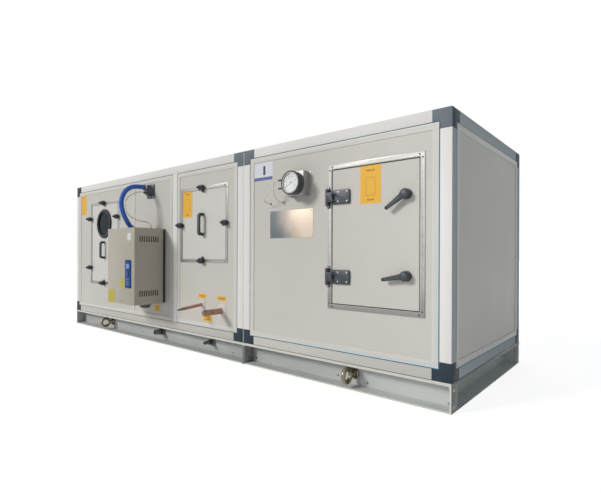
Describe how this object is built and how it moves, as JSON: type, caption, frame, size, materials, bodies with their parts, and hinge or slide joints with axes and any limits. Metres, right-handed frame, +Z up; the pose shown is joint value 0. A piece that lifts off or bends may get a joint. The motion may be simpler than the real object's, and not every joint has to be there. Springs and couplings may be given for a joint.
{
  "type": "air handling unit",
  "caption": "Long panelled air handling unit on a channel base, with a hinged access door, lift-off panels, a steam humidifier, coil pipe stubs and a pressure gauge.",
  "frame": {"origin": "on the floor at the centre of the base, on the underside of the middle cross member", "axes": "+X along the front to the right, +Y from the front to the back, +Z up"},
  "size_m": [3.44, 1.3425, 1.258],
  "materials": {
    "white_profile": "satin white coating on aluminium extrusion",
    "panel_paint": "satin warm grey coated sheet",
    "base_paint": "light grey paint on rolled steel",
    "slate_plastic": "moulded dark slate nylon",
    "black_plastic": "fine-grained black polyamide",
    "black_rubber": "closed-cell seal",
    "pale_foam": "white closed-cell foam",
    "dark_paint": "dark grey powder coat",
    "trim_metal": "brushed strip",
    "zinc_steel": "zinc plated",
    "copper_tube": "dull copper",
    "beige_paint": "fine textured powder coat",
    "blue_plate": "blue keypad film",
    "blue_hose": "braided silicone hose",
    "pale_hose": "translucent hose",
    "dial_white": "printed dial",
    "clear_glass": "clear",
    "dark_glass": "tinted"
  },
  "bodies": {
    "casing": {"corner_posts": "white_profile", "long_rails": "white_profile", "cross_rails": "white_profile", "mullions": "white_profile", "panel_beads": "white_profile", "pipe_escutcheons": "white_profile", "fan_front_panel": "panel_paint", "middle_front_panel": "panel_paint", "coil_front_panel": "panel_paint", "right_front_panel": "panel_paint", "back_panels": "panel_paint", "left_end_panel": "panel_paint", "right_end_panel": "panel_paint", "roof_panels": "panel_paint", "floor_panels": "panel_paint", "fan_access_panel": "panel_paint", "coil_access_panel": "panel_paint", "base_side_channels": "base_paint", "base_end_channels": "base_paint", "base_end_plates": "base_paint", "corner_blocks": "slate_plastic", "hinge_frame_leaves": "black_plastic", "access_handles": "black_plastic", "access_latches": "black_plastic", "porthole_ring": "black_plastic", "humidifier_drain_cup": "black_plastic", "steam_inlet": "black_plastic", "gauge_body": "black_plastic", "door_stop": "black_rubber", "section_gasket": "pale_foam", "humidifier_back_frame": "dark_paint", "door_frame": "trim_metal", "access_frames": "trim_metal", "gauge_bracket": "trim_metal", "gauge_wall_fittings": "trim_metal", "front_lifting_eyes": "zinc_steel", "back_lifting_eyes": "zinc_steel", "drain_stubs": "zinc_steel", "supply_collar": "zinc_steel", "return_collar": "zinc_steel", "coil_pipes": "copper_tube", "humidifier_cabinet": "beige_paint", "humidifier_control_panel": "blue_plate", "steam_hose": "blue_hose", "condensate_hose": "pale_hose", "gauge_tube_upper": "pale_hose", "gauge_tube_lower": "pale_hose", "gauge_dial": "dial_white", "gauge_lens": "clear_glass", "porthole_glass": "dark_glass"},
    "door": {"door_leaf": "panel_paint", "hinge_door_leaves": "black_plastic", "lever_rosettes": "black_plastic"},
    "upper_lever": {"upper_lever": "black_plastic"},
    "lower_lever": {"lower_lever": "black_plastic"}
  },
  "joints": [
    {"name": "door_hinge", "type": "hinge", "parent": "casing", "child": "door", "pos_m": [1.101, -0.5485, 0.7135], "axis": [0, 0, -1], "range_deg": [0, 110]},
    {"name": "upper_lever_turn", "type": "hinge", "parent": "door", "child": "upper_lever", "pos_m": [1.507, -0.532, 0.886], "axis": [0, -1, 0], "range_deg": [-37, 53]},
    {"name": "lower_lever_turn", "type": "hinge", "parent": "door", "child": "lower_lever", "pos_m": [1.507, -0.532, 0.539], "axis": [0, -1, 0], "range_deg": [-13, 77]}
  ]
}
